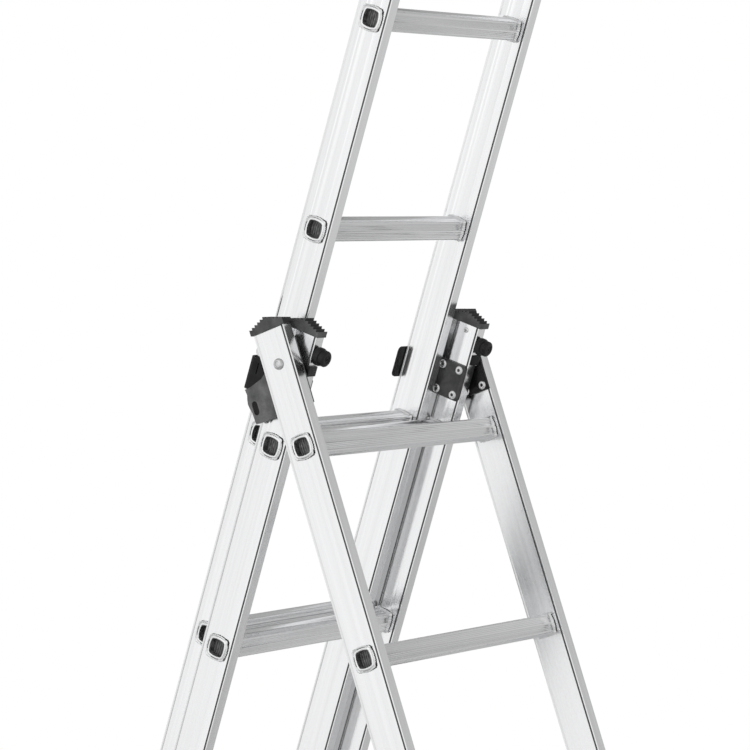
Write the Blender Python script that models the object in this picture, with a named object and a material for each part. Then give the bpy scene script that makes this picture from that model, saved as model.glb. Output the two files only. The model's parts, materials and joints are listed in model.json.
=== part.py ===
"""Three-section combination ladder: an A-frame whose middle section carries a sliding upper section.

Each section has an empty in the middle of its width, turned to the section's lean: local X runs along the
rungs, local Z up along the stiles, and the front of the stile faces local -Y.
"""

import math

import bmesh
import bpy
from mathutils import Matrix

MM = 0.001

# ---- driving dimensions, in millimetres -------------------------------------------------------------------
PITCH = 280.0
RUNG_COUNT = 6
LEAN = math.radians(19.0)
GAP = 0.3

STILE_DEPTH = 49.4
STILE_WIDTH = 16.4
STILE_WALL = 1.6
FLANGE_WALL = 1.8
LIP_STEP = 1.0
LIP_LENGTH = 3.1
STILE_ABOVE = 156.2
STILE_BELOW = 200.0

FRONT_HALF = 224.8
MIDDLE_HALF = 198.9
UPPER_HALF = 173.0

RUNG_HALF = 13.3
RUNG_CORNER = 5.0
RUNG_BORE = 11.0
RUNG_COLLAR = 16.3
RUNG_FLARE = 17.2

NEST = 38.7
UPPER_RAISED = 3

HINGE_ABOVE_MIDDLE = 111.2
HINGE_ABOVE_FRONT = 110.5
HINGE_BACK = 4.45
BOLT_RADIUS = 4.0

FLOOR_TO_RUNG = 1532.0
CENTRE_SHIFT = 49.8

PLATE = 2.5
KNOB_HEIGHT = 132.5
HOOK_PIVOT = 40.0
HOOK_PLAY = 4.6
DENT_DEPTH = 1.4

HALF_DEPTH = STILE_DEPTH / 2
LAST_RUNG = -PITCH * (RUNG_COUNT - 1)
STILE_END = LAST_RUNG - STILE_BELOW
SIDES = (("left", -1), ("right", 1))


# ---- scene and object helpers -----------------------------------------------------------------------------
def clear_scene():
    for old in list(bpy.data.objects):
        bpy.data.objects.remove(old, do_unlink=True)


def new_collection(name):
    made = bpy.data.collections.new(name)
    bpy.context.scene.collection.children.link(made)
    return made


def finish_material(name, colour, roughness, metallic):
    made = bpy.data.materials.new(name)
    made.use_nodes = True
    shader = made.node_tree.nodes["Principled BSDF"]
    shader.inputs["Base Color"].default_value = (*colour, 1.0)
    shader.inputs["Roughness"].default_value = roughness
    shader.inputs["Metallic"].default_value = metallic
    return made


def section_frame(name, origin, lean):
    frame = bpy.data.objects.new(name, None)
    frame.location = [value * MM for value in origin]
    frame.rotation_euler.x = lean
    frame.empty_display_size = 0.05
    parts.objects.link(frame)
    return frame


def place(obj, frame, at=(0, 0, 0)):
    obj.parent = frame
    obj.location = [value * MM for value in at]
    return obj


def solid(name, bm, finish, smooth=False):
    bmesh.ops.remove_doubles(bm, verts=bm.verts, dist=0.00001)
    bmesh.ops.recalc_face_normals(bm, faces=bm.faces)
    if bm.calc_volume(signed=True) < 0:
        bmesh.ops.reverse_faces(bm, faces=bm.faces)
    mesh = bpy.data.meshes.new(name)
    bm.to_mesh(mesh)
    bm.free()
    return mesh_object(name, mesh, finish, smooth)


def mesh_object(name, mesh, finish, smooth=False):
    obj = bpy.data.objects.new(name, mesh)
    parts.objects.link(obj)
    if finish is not None:
        mesh.materials.clear()
        mesh.materials.append(finish)
    if smooth:
        mesh.shade_smooth()
        mesh.set_sharp_from_angle(angle=math.radians(35))
    return obj


def flat_mesh(name, outlines, low, high, axis="Z"):
    """A plate with the given closed outlines (the first outer, the rest holes), from low to high along axis."""
    curve = bpy.data.curves.new(name, "CURVE")
    curve.dimensions = "2D"
    curve.fill_mode = "BOTH"
    curve.extrude = (high - low) / 2 * MM
    for outline in outlines:
        spline = curve.splines.new("POLY")
        spline.points.add(len(outline) - 1)
        spline.use_cyclic_u = True
        for point, (first, second) in zip(spline.points, outline):
            point.co = (first * MM, second * MM, 0, 1)
    drawn = bpy.data.objects.new(name, curve)
    parts.objects.link(drawn)
    graph = bpy.context.evaluated_depsgraph_get()
    mesh = bpy.data.meshes.new_from_object(drawn.evaluated_get(graph))
    bpy.data.objects.remove(drawn)
    bpy.data.curves.remove(curve)
    shift = Matrix.Translation((0, 0, (low + high) / 2 * MM))
    turn = Matrix.Identity(4)
    if axis == "X":
        turn = Matrix(((0, 0, 1, 0), (1, 0, 0, 0), (0, 1, 0, 0), (0, 0, 0, 1)))
    bm = bmesh.new()
    bm.from_mesh(mesh)
    bpy.data.meshes.remove(mesh)
    bmesh.ops.remove_doubles(bm, verts=bm.verts, dist=0.00001)
    bmesh.ops.transform(bm, matrix=turn @ shift, verts=bm.verts)
    return bm


def box_mesh(low, high):
    bm = bmesh.new()
    size = [(b - a) * MM for a, b in zip(low, high)]
    centre = [(a + b) / 2 * MM for a, b in zip(low, high)]
    matrix = Matrix.Translation(centre) @ Matrix.Diagonal((*size, 1))
    bmesh.ops.create_cube(bm, size=1, matrix=matrix)
    return bm


def cylinder_mesh(radius, low, high, axis="X", steps=16, at=(0, 0)):
    """A cylinder along axis; at gives its centre on the two other axes, in X, Y, Z order."""
    bm = bmesh.new()
    bmesh.ops.create_cone(
        bm, cap_ends=True, segments=steps, radius1=radius * MM, radius2=radius * MM, depth=(high - low) * MM
    )
    middle = (low + high) / 2
    if axis == "X":
        turn = Matrix.Rotation(math.pi / 2, 4, "Y")
        centre = (middle, at[0], at[1])
    else:
        turn = Matrix.Rotation(math.pi / 2, 4, "X")
        centre = (at[0], middle, at[1])
    move = Matrix.Translation([value * MM for value in centre])
    bmesh.ops.transform(bm, matrix=move @ turn, verts=bm.verts)
    return bm


def turned_mesh(profile, steps, axis="X", closed_bore=False):
    """Turns a profile of (distance along the axis, radius) about the axis."""
    bm = bmesh.new()
    verts = [bm.verts.new((radius * MM, 0, along * MM)) for along, radius in profile]
    edges = [bm.edges.new(pair) for pair in zip(verts, verts[1:])]
    if closed_bore:
        edges.append(bm.edges.new((verts[-1], verts[0])))
    bmesh.ops.spin(
        bm, geom=verts + edges, cent=(0, 0, 0), axis=(0, 0, 1), angle=2 * math.pi, steps=steps, use_merge=True
    )
    bmesh.ops.remove_doubles(bm, verts=bm.verts, dist=0.00001)
    turn = Matrix.Rotation(math.pi / 2, 4, "Y") if axis == "X" else Matrix.Rotation(math.pi / 2, 4, "X")
    bmesh.ops.transform(bm, matrix=turn, verts=bm.verts)
    return bm


def merge(bm, other, offset=(0, 0, 0), mirror_x=False):
    """Adds other to bm as separate bodies, moved, and mirrored in X if asked."""
    matrix = Matrix.Translation([value * MM for value in offset])
    if mirror_x:
        matrix = Matrix.Diagonal((-1, 1, 1, 1)) @ matrix
    bmesh.ops.transform(other, matrix=matrix, verts=other.verts)
    if mirror_x:
        bmesh.ops.reverse_faces(other, faces=other.faces)
    holder = bpy.data.meshes.new("holder")
    other.to_mesh(holder)
    bm.from_mesh(holder)
    bpy.data.meshes.remove(holder)
    other.free()


def fixing(name, frame, sign, profile, steps, at, finish):
    """One turned fastener along X, its profile drawn for the right-hand side."""
    bm = bmesh.new()
    merge(bm, turned_mesh(profile, steps, "X"), at, mirror_x=sign < 0)
    return place(solid(name, bm, finish, smooth=True), frame)


def tool(name, bm, frame):
    bmesh.ops.recalc_face_normals(bm, faces=bm.faces)
    mesh = bpy.data.meshes.new(name)
    bm.to_mesh(mesh)
    bm.free()
    obj = bpy.data.objects.new(name, mesh)
    cutters.objects.link(obj)
    obj.hide_render = True
    obj.display_type = "WIRE"
    obj.parent = frame
    return obj


def boolean(obj, other, operation):
    modifier = obj.modifiers.new(operation.lower(), "BOOLEAN")
    modifier.operation = operation
    modifier.object = other
    modifier.solver = "EXACT"


def mirrored(outline):
    return [(-first, second) for first, second in reversed(outline)]


# ---- stiles -----------------------------------------------------------------------------------------------
def stile_outline():
    """Outer outline of the extrusion: broad faces set back between proud lips at the front and back edges."""
    half = HALF_DEPTH
    lip = half - LIP_LENGTH
    outer = [
        (LIP_STEP, -lip + 0.8),
        (0.0, -lip),
        (0.0, -half + 0.5),
        (0.5, -half),
        (STILE_WIDTH - 0.5, -half),
        (STILE_WIDTH, -half + 0.5),
        (STILE_WIDTH, -lip),
        (STILE_WIDTH - LIP_STEP, -lip + 0.8),
    ]
    back = [(across, -along) for across, along in reversed(outer)]
    return outer + back


def cavity_outline():
    near = LIP_STEP + STILE_WALL
    far = STILE_WIDTH - near
    deep = HALF_DEPTH - FLANGE_WALL
    return [(near, -deep), (far, -deep), (far, deep), (near, deep)]


def rounded_square(half, corner):
    """Eight points of a square with cut corners, in (y, z)."""
    flat = half - corner
    return [
        (half, -flat), (half, flat), (flat, half), (-flat, half),
        (-half, flat), (-half, -flat), (-flat, -half), (flat, -half),
    ]


def make_stile(section, side, sign, half_width, frame, low, high, rung_heights, extra_cuts):
    outer = [(sign * (half_width - across), along) for across, along in stile_outline()]
    inner = [(sign * (half_width - across), along) for across, along in cavity_outline()]
    name = f"{section}_stile_{side}"
    stile = solid(name, flat_mesh(name, [outer, inner], low, high), aluminium)
    place(stile, frame)
    middle = sign * (half_width - STILE_WIDTH / 2)
    cuts = bmesh.new()
    for height in rung_heights:
        hole = [(y, z + height) for y, z in rounded_square(RUNG_HALF, RUNG_CORNER)]
        merge(cuts, flat_mesh("hole", [hole], middle - STILE_WIDTH, middle + STILE_WIDTH, "X"))
    for cut in extra_cuts:
        merge(cuts, cut)
    boolean(stile, tool(f"{name}_holes", cuts, frame), "DIFFERENCE")
    return stile


# ---- rungs ------------------------------------------------------------------------------------------------
def rung_mesh(half_width):
    """A hollow square tube: a collar against each stile's inner face, and a flared end outside it."""
    inner = half_width - STILE_WIDTH
    neck = RUNG_HALF - GAP
    end = [
        (inner - 3.6, RUNG_HALF, RUNG_CORNER),
        (inner - 2.0, RUNG_COLLAR, RUNG_CORNER + 1.5),
        (inner - GAP, RUNG_COLLAR, RUNG_CORNER + 1.5),
        (inner - GAP, neck, RUNG_CORNER),
        (half_width + GAP, neck, RUNG_CORNER),
        (half_width + GAP, RUNG_FLARE, RUNG_CORNER + 2.5),
        (half_width + 1.6, RUNG_FLARE - 1.4, RUNG_CORNER + 2.0),
        (half_width + 1.6, RUNG_BORE, RUNG_CORNER - 1.0),
    ]
    stations = [(-along, half, corner) for along, half, corner in reversed(end)] + end
    bm = bmesh.new()
    rings = []
    for along, half, corner in stations:
        rings.append([bm.verts.new((along * MM, y * MM, z * MM)) for y, z in rounded_square(half, corner)])
    for first, second in zip(rings, rings[1:] + rings[:1]):
        for index in range(8):
            after = (index + 1) % 8
            bm.faces.new((first[index], first[after], second[after], second[index]))
    return bm


def make_rungs(section, half_width, frame, heights):
    shared = None
    for number, height in enumerate(heights, start=1):
        name = f"{section}_rung_{number}"
        if shared is None:
            rung = solid(name, rung_mesh(half_width), aluminium_rung)
            shared = rung.data
        else:
            rung = mesh_object(name, shared, None)
        place(rung, frame, (0, 0, height))


# ---- plastic caps, feet and shoes -------------------------------------------------------------------------
def plug_mesh(half_width, low, high):
    """The part of a cap or foot that fills the stile's cavity; on the right-hand side."""
    near = LIP_STEP + STILE_WALL + GAP
    deep = HALF_DEPTH - FLANGE_WALL - GAP
    return box_mesh((half_width - STILE_WIDTH + near, -deep, low), (half_width - near, deep, high))


def cap_outline(slope_front):
    """Side view of a cap in (y, z): a grooved tread that lies level, then five saw-toothed steps down."""
    base = STILE_ABOVE + GAP
    edge = HALF_DEPTH + 2.6
    peak = base + 18.0
    rise = math.tan(LEAN)
    brow = 2.0
    rim = 8.2
    points = [(-edge, base), (edge, base)]
    tips = 5
    run = (edge - brow) / tips
    drop = (peak - base - rim) / tips
    for tip in range(tips, 0, -1):
        along = brow + tip * run
        height = peak - tip * drop
        points.append((along, height))
        points.append((along - run + 0.4, height - rise * (run - 0.4)))
    points.append((brow, peak))
    pitch = 5.8
    groove = 1.9
    deep = 1.7
    for step in range(4):
        near = brow - (step + 1) * pitch + groove
        far = near - groove
        for along, down in ((near, 0.0), (near - 0.3, deep), (far + 0.3, deep), (far, 0.0)):
            points.append((along, peak - down + rise * (along - brow)))
    points.append((-edge, peak - rise * (edge + brow)))
    front = [(-n, z) for n, z in points]
    return front if slope_front else points


def make_top_cap(section, side, sign, half_width, frame, slope_front):
    name = f"{section}_top_cap_{side}"
    outer = half_width + 2.8
    inner = half_width - STILE_WIDTH - 0.2
    bm = flat_mesh(name, [cap_outline(slope_front)], inner, outer, "X")
    plug = plug_mesh(half_width, STILE_ABOVE - 16.0, STILE_ABOVE + 4.0)
    if sign < 0:
        for mesh in (bm, plug):
            bmesh.ops.scale(mesh, vec=(-1, 1, 1), verts=mesh.verts)
            bmesh.ops.reverse_faces(mesh, faces=mesh.faces)
    cap = place(solid(name, bm, black_plastic), frame)
    boolean(cap, tool(f"{name}_plug", plug, frame), "UNION")


def make_end_plug(name, sign, half_width, frame, end, direction, finish):
    """A flush plastic plug in an open stile end; direction is 1 at the top and -1 at the bottom."""
    thick = 3.0
    near = sorted((end + direction * GAP, end + direction * (GAP + thick)))
    deep = sorted((end + direction * (GAP + 1.0), end - direction * 16.0))
    bm = box_mesh((half_width - STILE_WIDTH, -HALF_DEPTH, near[0]), (half_width, HALF_DEPTH, near[1]))
    plug = plug_mesh(half_width, deep[0], deep[1])
    if sign < 0:
        for mesh in (bm, plug):
            bmesh.ops.scale(mesh, vec=(-1, 1, 1), verts=mesh.verts)
            bmesh.ops.reverse_faces(mesh, faces=mesh.faces)
    cap = place(solid(name, bm, finish), frame)
    boolean(cap, tool(f"{name}_plug", plug, frame), "UNION")


def make_middle_foot(side, sign, frame):
    """A plastic shoe round the stile's end, with a sole that lies level on the floor."""
    name = f"middle_foot_{side}"
    edge = HALF_DEPTH + 2.6
    top = STILE_END + 34.0

    def sole(y):
        return (-FLOOR_TO_RUNG - y * math.sin(LEAN)) / math.cos(LEAN)

    outline = [(-edge, sole(-edge)), (edge + 3.0, sole(edge + 3.0)), (edge, top - 6.0), (edge, top), (-edge, top)]
    inner = sign * (MIDDLE_HALF - STILE_WIDTH - 2.0)
    outer = sign * (MIDDLE_HALF + 2.0)
    foot = solid(name, flat_mesh(name, [outline], min(inner, outer), max(inner, outer), "X"), black_plastic)
    place(foot, frame)
    fit = sorted((sign * (MIDDLE_HALF - STILE_WIDTH - GAP), sign * (MIDDLE_HALF + GAP)))
    deep = HALF_DEPTH + GAP
    pocket = box_mesh((fit[0], -deep, STILE_END - GAP), (fit[1], deep, top + 10.0))
    boolean(foot, tool(f"{name}_pocket", pocket, frame), "DIFFERENCE")


# ---- stabiliser bar ---------------------------------------------------------------------------------------
BAR_HALF = 425.0
BAR_DEEP = 25.0
BAR_TALL = 46.0
BAR_TOP = STILE_END + 30.0


def bar_outline(grow):
    """The bar's section in the front section's (y, z), set in front of the stiles."""
    near = -HALF_DEPTH - GAP + grow
    far = -HALF_DEPTH - GAP - BAR_DEEP - grow
    return [(far, BAR_TOP - BAR_TALL - grow), (near, BAR_TOP - BAR_TALL - grow), (near, BAR_TOP + grow), (far, BAR_TOP + grow)]


def hinge_local(outline):
    """Heights from the front section's top rung, as heights from its hinge axis."""
    return [(y, z - HINGE_ABOVE_FRONT) for y, z in outline]


BOLT_HEIGHT = BAR_TOP - BAR_TALL / 2 - HINGE_ABOVE_FRONT
BOLT_ACROSS = FRONT_HALF - STILE_WIDTH / 2


def make_stabiliser(frame):
    """A rectangular tube across the front of the stiles, held by one bolt at each side."""
    outer = hinge_local(bar_outline(0.0))
    inner = hinge_local(bar_outline(-2.0))
    bar = solid("stabiliser_bar", flat_mesh("bar", [outer, inner], -BAR_HALF, BAR_HALF, "X"), aluminium)
    place(bar, frame)
    front = HALF_DEPTH + GAP + BAR_DEEP
    profile = [(HALF_DEPTH - 6.0, 0.0), (HALF_DEPTH - 6.0, 3.5), (front + GAP, 3.5), (front + GAP, 8.0)]
    profile += [(front + 2.8, 6.8), (front + 4.0, 4.0), (front + 4.0, 0.0)]
    cuts = bmesh.new()
    for side, sign in SIDES:
        spot = (sign * BOLT_ACROSS, BOLT_HEIGHT)
        merge(cuts, cylinder_mesh(3.5 + GAP, -front - 5, -HALF_DEPTH + 0.2, "Y", 12, spot))
        bolt = solid(f"stabiliser_bolt_{side}", turned_mesh(profile, 12, "Y"), bright_steel, smooth=True)
        place(bolt, frame, (sign * BOLT_ACROSS, 0, BOLT_HEIGHT))
    boolean(bar, tool("stabiliser_bar_holes", cuts, frame), "DIFFERENCE")


def make_shoe(side, sign, frame):
    """A plastic shoe over the bar's end, with a level sole."""
    name = f"stabiliser_shoe_{side}"
    near = -HALF_DEPTH - GAP + 3.5
    far = -HALF_DEPTH - GAP - BAR_DEEP - 3.5
    floor = FLOOR_TO_RUNG + FRONT_RUNG_LIFT

    def sole(y):
        return (-floor + y * math.sin(LEAN)) / math.cos(LEAN)

    top = BAR_TOP + 3.5
    outline = [
        (far - 6.0, sole(far - 6.0)), (near + 6.0, sole(near + 6.0)), (near + 6.0, sole(near + 6.0) + 6.0),
        (near, BAR_TOP - BAR_TALL), (near, top), (far, top), (far, BAR_TOP - BAR_TALL), (far - 6.0, sole(far - 6.0) + 6.0),
    ]
    reach = sorted((sign * (BAR_HALF - 36.0), sign * (BAR_HALF + 5.0)))
    shoe = solid(name, flat_mesh(name, [hinge_local(outline)], reach[0], reach[1], "X"), black_plastic)
    place(shoe, frame)
    ends = sorted((sign * (BAR_HALF - 60.0), sign * (BAR_HALF + GAP)))
    pocket = flat_mesh("pocket", [hinge_local(bar_outline(GAP))], ends[0], ends[1], "X")
    boolean(shoe, tool(f"{name}_pocket", pocket, frame), "DIFFERENCE")


# ---- middle section's brackets ----------------------------------------------------------------------------
RIVET_PLACES = [(-13.0, 57.0), (-13.0, 92.5), (14.7, 57.0), (14.7, 92.5)]
RIVET_HOLE = 3.3
RIVET_SHANK = 3.0


def arc(centre, radius, start, end, steps):
    """Points of an arc in (y, z), angles in degrees from +y towards +z."""
    angles = [math.radians(start + (end - start) * step / steps) for step in range(steps + 1)]
    return [(centre[0] + radius * math.cos(a), centre[1] + radius * math.sin(a)) for a in angles]


def x_box(sign, near, far, low, high):
    """A box from near to far along X on the given side; low and high are its (y, z) corners."""
    reach = sorted((sign * near, sign * far))
    return box_mesh((reach[0], low[0], low[1]), (reach[1], high[0], high[1]))


def make_outer_bracket(side, sign, frame):
    """Steel plate on the outer face: hooks round the front flange, and runs back behind the upper section."""
    name = f"middle_bracket_outer_{side}"
    near = MIDDLE_HALF + GAP
    far = near + PLATE
    back = NEST + HALF_DEPTH + 0.6
    front = HALF_DEPTH + GAP
    outline = [(-front - PLATE, 104.0), (-22.0, 104.0), (-22.0, 52.0), (20.0, 50.0), (46.0, 56.0)]
    outline += arc((LOBE_BACK - 7.0, 66.0), 7.0, -70, 0, 3)
    outline += arc((LOBE_BACK - 7.0, 94.0), 7.0, 0, 60, 3)
    outline += [(53.0, 112.0), (50.0, 126.5), (32.0, 126.5), (28.0, 118.0), (-front - PLATE, 118.0)]
    reach = sorted((sign * near, sign * far))
    slot = oval((51.0, 88.0), 2.2, 8.0)
    plate = solid(name, flat_mesh(name, [outline, slot], reach[0], reach[1], "X"), dark_steel)
    place(plate, frame)
    joined = (
        ("hook", x_box(sign, MIDDLE_HALF - STILE_WIDTH + 1.2, far - 0.1, (-front - PLATE, 104.4), (-front, 117.6))),
        ("guide", guide_return(sign, far, back)),
        ("stop", x_box(sign, far - 0.8, FRONT_HALF - STILE_WIDTH - 0.5, (STOP_FACE, 119.5), (STOP_FACE + 7.0, 126.0))),
    )
    for label, bm in joined:
        boolean(plate, tool(f"{name}_{label}", bm, frame), "UNION")
    cuts = bmesh.new()
    for y, z in RIVET_PLACES:
        merge(cuts, cylinder_mesh(RIVET_HOLE, reach[0] - 2, reach[1] + 2, "X", 10, (y, z)))
    boolean(plate, tool(f"{name}_holes", cuts, frame), "DIFFERENCE")


STOP_FACE = 40.0
LOBE_BACK = 59.5


def guide_return(sign, far, back):
    """The bracket's tongue, bent inwards behind the upper section's back flange."""
    near = far - PLATE + 0.1
    reach = UPPER_HALF - STILE_WIDTH - 15.0
    skin = far - 0.1
    rear = back + PLATE - 0.1
    outline = [(skin, LOBE_BACK - 9.0), (skin, LOBE_BACK - 0.5), (skin - 1.4, rear - 3.6), (skin - 5.0, rear - 0.9)]
    outline += [(skin - 9.0, rear), (reach, rear), (reach, back), (near - 6.6, back), (near - 3.9, back - 0.9)]
    outline += [(near - 1.1, back - 3.0), (near, LOBE_BACK - 1.5), (near, LOBE_BACK - 9.0)]
    bm = flat_mesh("tongue", [[(sign * x, y) for x, y in outline]], 57.5, 100.5)
    bmesh.ops.dissolve_limit(bm, angle_limit=math.radians(1), verts=bm.verts, edges=bm.edges)
    corners = [edge for edge in bm.edges
               if all(abs(vert.co.x - sign * reach * MM) < 0.00001 for vert in edge.verts)
               and abs(edge.verts[0].co.y - edge.verts[1].co.y) > 0.001]
    bmesh.ops.bevel(bm, geom=corners, offset=6.5 * MM, affect="EDGES", segments=4, profile=0.5, material=-1)
    return bm


def oval(centre, half_width, half_height):
    """A round-ended slot in (y, z)."""
    rise = half_height - half_width
    top = arc((centre[0], centre[1] + rise), half_width, 0, 180, 6)
    bottom = arc((centre[0], centre[1] - rise), half_width, 180, 360, 6)
    return top + bottom


def make_inner_plate(side, sign, frame):
    """Steel plate on the inner face, in one with the four rivets clinched through it."""
    name = f"middle_plate_inner_{side}"
    far = MIDDLE_HALF - STILE_WIDTH - GAP
    near = far - 2.2
    outline = [(-20.0, 50.0), (20.0, 50.0), (24.0, 54.0), (24.0, 97.0), (20.0, 100.6), (-20.0, 100.6)]
    outline += [(-24.0, 96.6), (-24.0, 54.0)]
    reach = sorted((sign * near, sign * far))
    plate = solid(name, flat_mesh(name, [outline], reach[0], reach[1], "X"), dark_steel)
    place(plate, frame)
    profile = rivet_profile(near, MIDDLE_HALF + GAP + PLATE + GAP, closing_head=True)
    join_rivets(plate, sign, frame, profile, RIVET_PLACES)


def rivet_profile(face, end, closing_head):
    """A tubular rivet: open head standing on face, shank to end, and a second head there if asked."""
    profile = [(face - 0.5, 0.0), (face - 0.5, 1.9), (face - 1.5, 2.4), (face - 1.5, 4.4), (face - 0.1, 5.7)]
    profile += [(face + 0.4, 5.7), (face + 0.4, RIVET_SHANK), (end, RIVET_SHANK)]
    if closing_head:
        profile += [(end, 5.0), (end + 1.1, 4.0), (end + 1.1, 0.0)]
    else:
        profile += [(end, 0.0)]
    return profile


def join_rivets(plate, sign, frame, profile, places):
    group = bmesh.new()
    for y, z in places:
        merge(group, turned_mesh(profile, 10, "X"), (0, y, z), mirror_x=sign < 0)
    boolean(plate, tool(f"{plate.name}_rivets", group, frame), "UNION")


def make_cap_screw(side, sign, frame):
    face = MIDDLE_HALF - STILE_WIDTH + LIP_STEP
    profile = [(face - 0.9, 0.0), (face - 0.9, 1.6), (face - 1.6, 1.6), (face - 1.6, 3.0), (face - 0.3, 4.2)]
    profile += [(face - 0.3, 2.2), (face + 1.5, 2.2), (face + 1.5, 0.0)]
    fixing(f"cap_screw_{side}", frame, sign, profile, 10, (0, -5.1, 148.0), bright_steel)


# ---- hinge ------------------------------------------------------------------------------------------------
BAR_NEAR = MIDDLE_HALF + GAP + PLATE + GAP
BAR_FAR = BAR_NEAR + 2.7
FRONT_PLATE_FAR = FRONT_HALF - STILE_WIDTH - GAP
FRONT_PLATE_NEAR = FRONT_PLATE_FAR - 2.8
FRONT_RIVETS = [(-15.1, 58.7), (13.0, 58.7), (-15.1, 92.5), (13.0, 92.5)]


def make_hinge_slide(side, sign, frame):
    """A flat bar that slides on the outer bracket and carries the pivot bolt."""
    name = f"hinge_slide_{side}"
    outline = [(-15.5, -6.3), (46.0, -6.3)] + arc((46.0, 0.0), 6.3, -60, 60, 4) + [(46.0, 6.3), (-15.5, 6.3)]
    reach = sorted((sign * BAR_NEAR, sign * BAR_FAR))
    bar = solid(name, flat_mesh(name, [outline], reach[0], reach[1], "X"), bright_steel)
    place(bar, frame)
    hole = cylinder_mesh(BOLT_RADIUS + GAP, reach[0] - 2, reach[1] + 2, "X", 16)
    boolean(bar, tool(f"{name}_hole", hole, frame), "DIFFERENCE")


def make_hinge_bolt(side, sign, frame):
    seat = FRONT_HALF - LIP_STEP + GAP
    profile = [(BAR_NEAR + 0.1, 0.0), (BAR_NEAR + 0.1, BOLT_RADIUS), (seat, BOLT_RADIUS), (seat, 7.4)]
    profile += [(seat + 1.2, 7.2), (seat + 2.4, 5.9), (seat + 3.2, 3.6), (seat + 3.5, 0.0)]
    fixing(f"hinge_bolt_{side}", frame, sign, profile, 16, (0, 0, 0), bright_steel)


def make_front_plate(side, sign, frame):
    """Steel plate on the front stile's inner face, in one with its blind rivets; the rear lobe laps the bracket."""
    name = f"front_hinge_plate_{side}"
    outline = [(-24.0, 51.3), (64.5, 51.3), (71.3, 52.3), (72.4, 67.5), (74.2, 74.0), (75.2, 80.0), (74.2, 86.0)]
    outline += [(72.4, 91.5), (73.4, 99.4), (64.0, 99.8), (44.0, 104.5), (30.0, 113.0), (26.4, 134.0), (19.0, 143.4)]
    outline += [(-18.0, 143.4), (-24.0, 137.4)]
    reach = sorted((sign * FRONT_PLATE_NEAR, sign * FRONT_PLATE_FAR))
    plate = solid(name, flat_mesh(name, [hinge_local(outline)], reach[0], reach[1], "X"), dark_steel)
    place(plate, frame)
    dent = sorted((sign * (FRONT_PLATE_FAR - DENT_DEPTH), sign * (FRONT_PLATE_FAR + 2.0)))
    slot = flat_mesh(f"{name}_dent", [hinge_local(oval((65.2, 71.6), 4.4, 9.4))], dent[0], dent[1], "X")
    boolean(plate, tool(f"{name}_dent", slot, frame), "DIFFERENCE")
    profile = rivet_profile(FRONT_PLATE_NEAR, FRONT_HALF - STILE_WIDTH + LIP_STEP + 3.0, closing_head=False)
    join_rivets(plate, sign, frame, profile, hinge_local(FRONT_RIVETS))
    hole = cylinder_mesh(BOLT_RADIUS + GAP, reach[0] - 2, reach[1] + 2, "X", 16)
    boolean(plate, tool(f"{name}_hole", hole, frame), "DIFFERENCE")


# ---- spring-loaded knobs ----------------------------------------------------------------------------------
def make_plunger(side, sign, frame):
    """A black knob on a shaft that runs through the front flange into the stile."""
    face = HALF_DEPTH + GAP
    profile = [(-14.0, 0.0), (-14.0, 3.9), (-1.0, 3.9), (-1.0, 5.2), (1.0, 5.2), (1.0, 3.9), (face + 0.3, 3.9)]
    profile += [(face + 0.3, 10.2), (face + 2.6, 12.0), (face + 9.4, 12.0), (face + 10.6, 10.9)]
    profile += [(face + 16.8, 10.5), (face + 18.4, 9.0), (face + 18.4, 4.2), (face + 16.8, 4.2), (face + 16.8, 0.0)]
    knob = solid(f"knob_{side}", turned_mesh(profile, 18, "Y"), black_plastic, smooth=True)
    place(knob, frame, (sign * (MIDDLE_HALF - STILE_WIDTH / 2), 0, KNOB_HEIGHT))


def make_spring(side, sign, frame):
    """A short coil round the knob's shaft, inside the stile."""
    turns = 4
    per_turn = 9
    start = 2.2
    rise = 9.4
    curve = bpy.data.curves.new("coil", "CURVE")
    curve.dimensions = "3D"
    curve.bevel_depth = 0.45 * MM
    curve.bevel_resolution = 2
    curve.use_fill_caps = True
    spline = curve.splines.new("POLY")
    spline.points.add(turns * per_turn)
    for step, point in enumerate(spline.points):
        angle = 2 * math.pi * step / per_turn
        along = start + rise * step / (turns * per_turn)
        point.co = (4.8 * math.cos(angle) * MM, -along * MM, 4.8 * math.sin(angle) * MM, 1)
    coil = bpy.data.objects.new(f"knob_spring_{side}", curve)
    parts.objects.link(coil)
    curve.materials.append(bright_steel)
    place(coil, frame, (sign * (MIDDLE_HALF - STILE_WIDTH / 2), 0, KNOB_HEIGHT))


# ---- rung hooks -------------------------------------------------------------------------------------------
def make_rung_hook(side, sign, frame):
    """A swinging hook on the upper stile's inner face; it rests on a rung of the middle section."""
    name = f"rung_hook_{side}"
    far = UPPER_HALF - STILE_WIDTH - GAP
    near = far - 3.0
    top = RUNG_HALF + HOOK_PLAY - HOOK_PIVOT
    back = NEST - RUNG_HALF - 6.0
    front = NEST + RUNG_HALF + HOOK_PLAY
    outline = arc((0.0, 0.0), 10.0, 200, 20, 6)
    outline = [(-y, z) for y, z in reversed(outline)]
    outline = [(9.5, -4.0), (-8.0, -13.0), (-back, top), (-front, top), (-front, top - 20.0)]
    outline += [(-front - 2.6, top - 20.0), (-front - 4.6, top - 8.0), (-front - 4.6, top + 6.0), (-front + 2.0, top + 12.5)]
    outline += [(-24.0, 4.0)] + arc((0.0, 0.0), 10.0, 120, 0, 4)
    reach = sorted((sign * near, sign * far))
    hook = solid(name, flat_mesh(name, [outline], reach[0], reach[1], "X"), bright_steel)
    place(hook, frame)
    hole = cylinder_mesh(3.0 + GAP, reach[0] - 2, reach[1] + 2, "X", 12)
    boolean(hook, tool(f"{name}_hole", hole, frame), "DIFFERENCE")


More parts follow.
